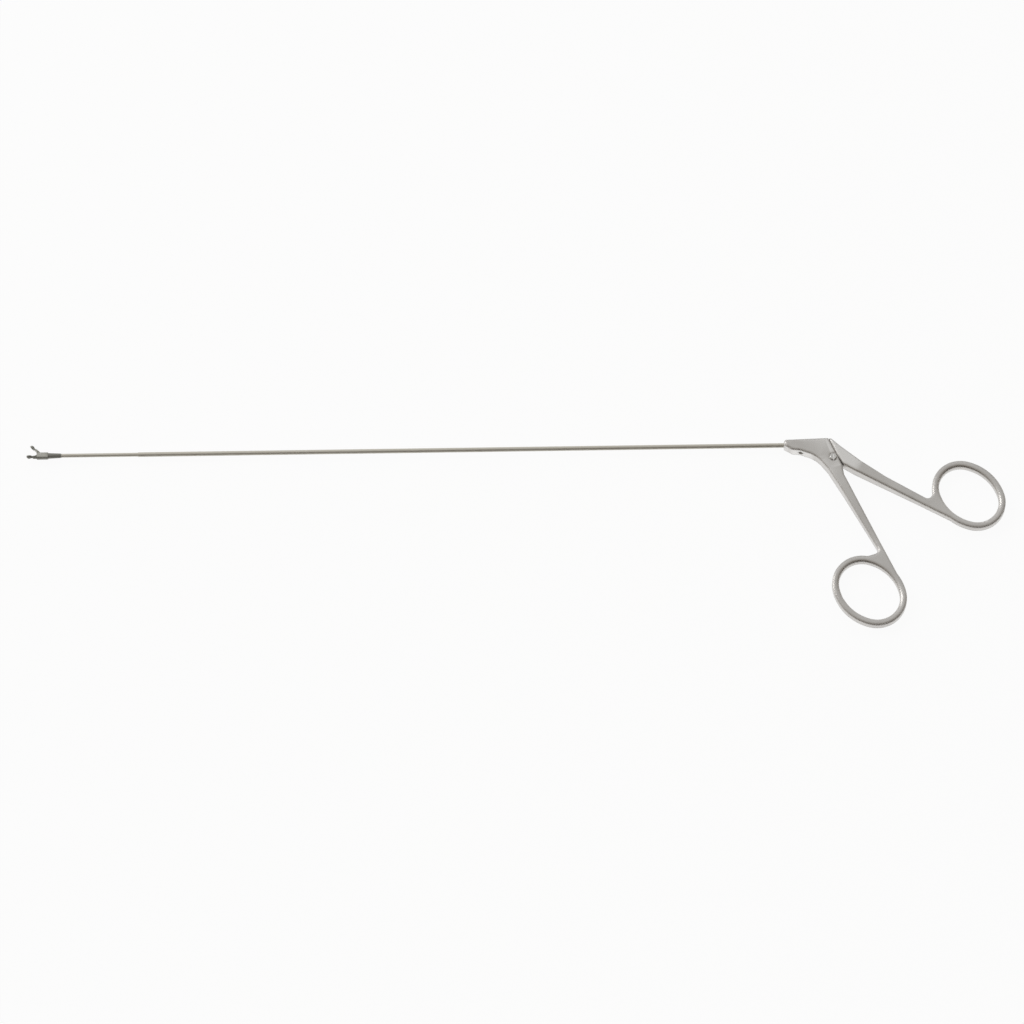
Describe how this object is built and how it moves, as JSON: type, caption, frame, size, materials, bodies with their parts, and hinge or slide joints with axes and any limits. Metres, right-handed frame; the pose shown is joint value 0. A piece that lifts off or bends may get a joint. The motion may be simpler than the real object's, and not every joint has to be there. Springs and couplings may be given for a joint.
{
  "type": "micro laryngeal forceps",
  "caption": "Long slim surgical forceps with ring handles set below the shaft and a small cupped jaw at the far end that closes as the rear handle is squeezed.",
  "frame": {"origin": "on the shaft's axis where the shaft enters the nose of the front handle, half way through the handle's thickness", "axes": "+X from the jaws towards the handle along the shaft, +Y to the side the moving jaw opens to with the finger rings on the -Y side, +Z out of the flat side that is seen in the picture; the instrument lies on its -Z side"},
  "size_m": [0.3858, 0.0817, 0.0057],
  "materials": {
    "satin_handle_steel": "fine satin blasted stainless steel, a little brighter on worn rims",
    "shaft_steel": "stainless tube brushed along its length, matt and slightly warm in tone",
    "jaw_steel": "ground matt stainless steel",
    "polished_steel": "turned and lightly polished stainless steel"
  },
  "bodies": {
    "fixed_body": {"front_handle": "satin_handle_steel", "handle_pivot_screw": "polished_steel", "shaft_set_screw": "polished_steel", "main_tube": "shaft_steel", "thin_tube": "shaft_steel", "rod_guide_bush": "polished_steel", "jaw_head": "jaw_steel", "jaw_pivot_pin": "polished_steel"},
    "rear_lever": {"rear_handle": "satin_handle_steel"},
    "rod_train": {"pull_rod": "polished_steel", "thin_rod": "polished_steel", "rod_eye": "jaw_steel", "cam_pin": "polished_steel", "rod_knuckle": "polished_steel", "knuckle_pin": "polished_steel", "rod_lock_nut": "polished_steel"},
    "upper_jaw": {"moving_jaw": "jaw_steel"}
  },
  "joints": [
    {"name": "rear_handle_pivot", "type": "hinge", "parent": "fixed_body", "child": "rear_lever", "pos_m": [0.0185, -0.0062, 0], "axis": [0, 0, -1], "range_deg": [0, 7]},
    {"name": "rod_slide", "type": "slide", "parent": "fixed_body", "child": "rod_train", "axis": [1, 0, 0], "range_m": [0, 0.00075843]},
    {"name": "jaw_pivot", "type": "hinge", "parent": "fixed_body", "child": "upper_jaw", "pos_m": [-0.2945, 0.0004, 0], "axis": [0, 0, 1], "range_deg": [0, 46]}
  ],
  "couplings": [
    {"joint": "rod_slide", "follows": "rear_handle_pivot", "m_per_rad": 0.0062077},
    {"joint": "jaw_pivot", "follows": "rear_handle_pivot", "ratio": 6.5714}
  ]
}
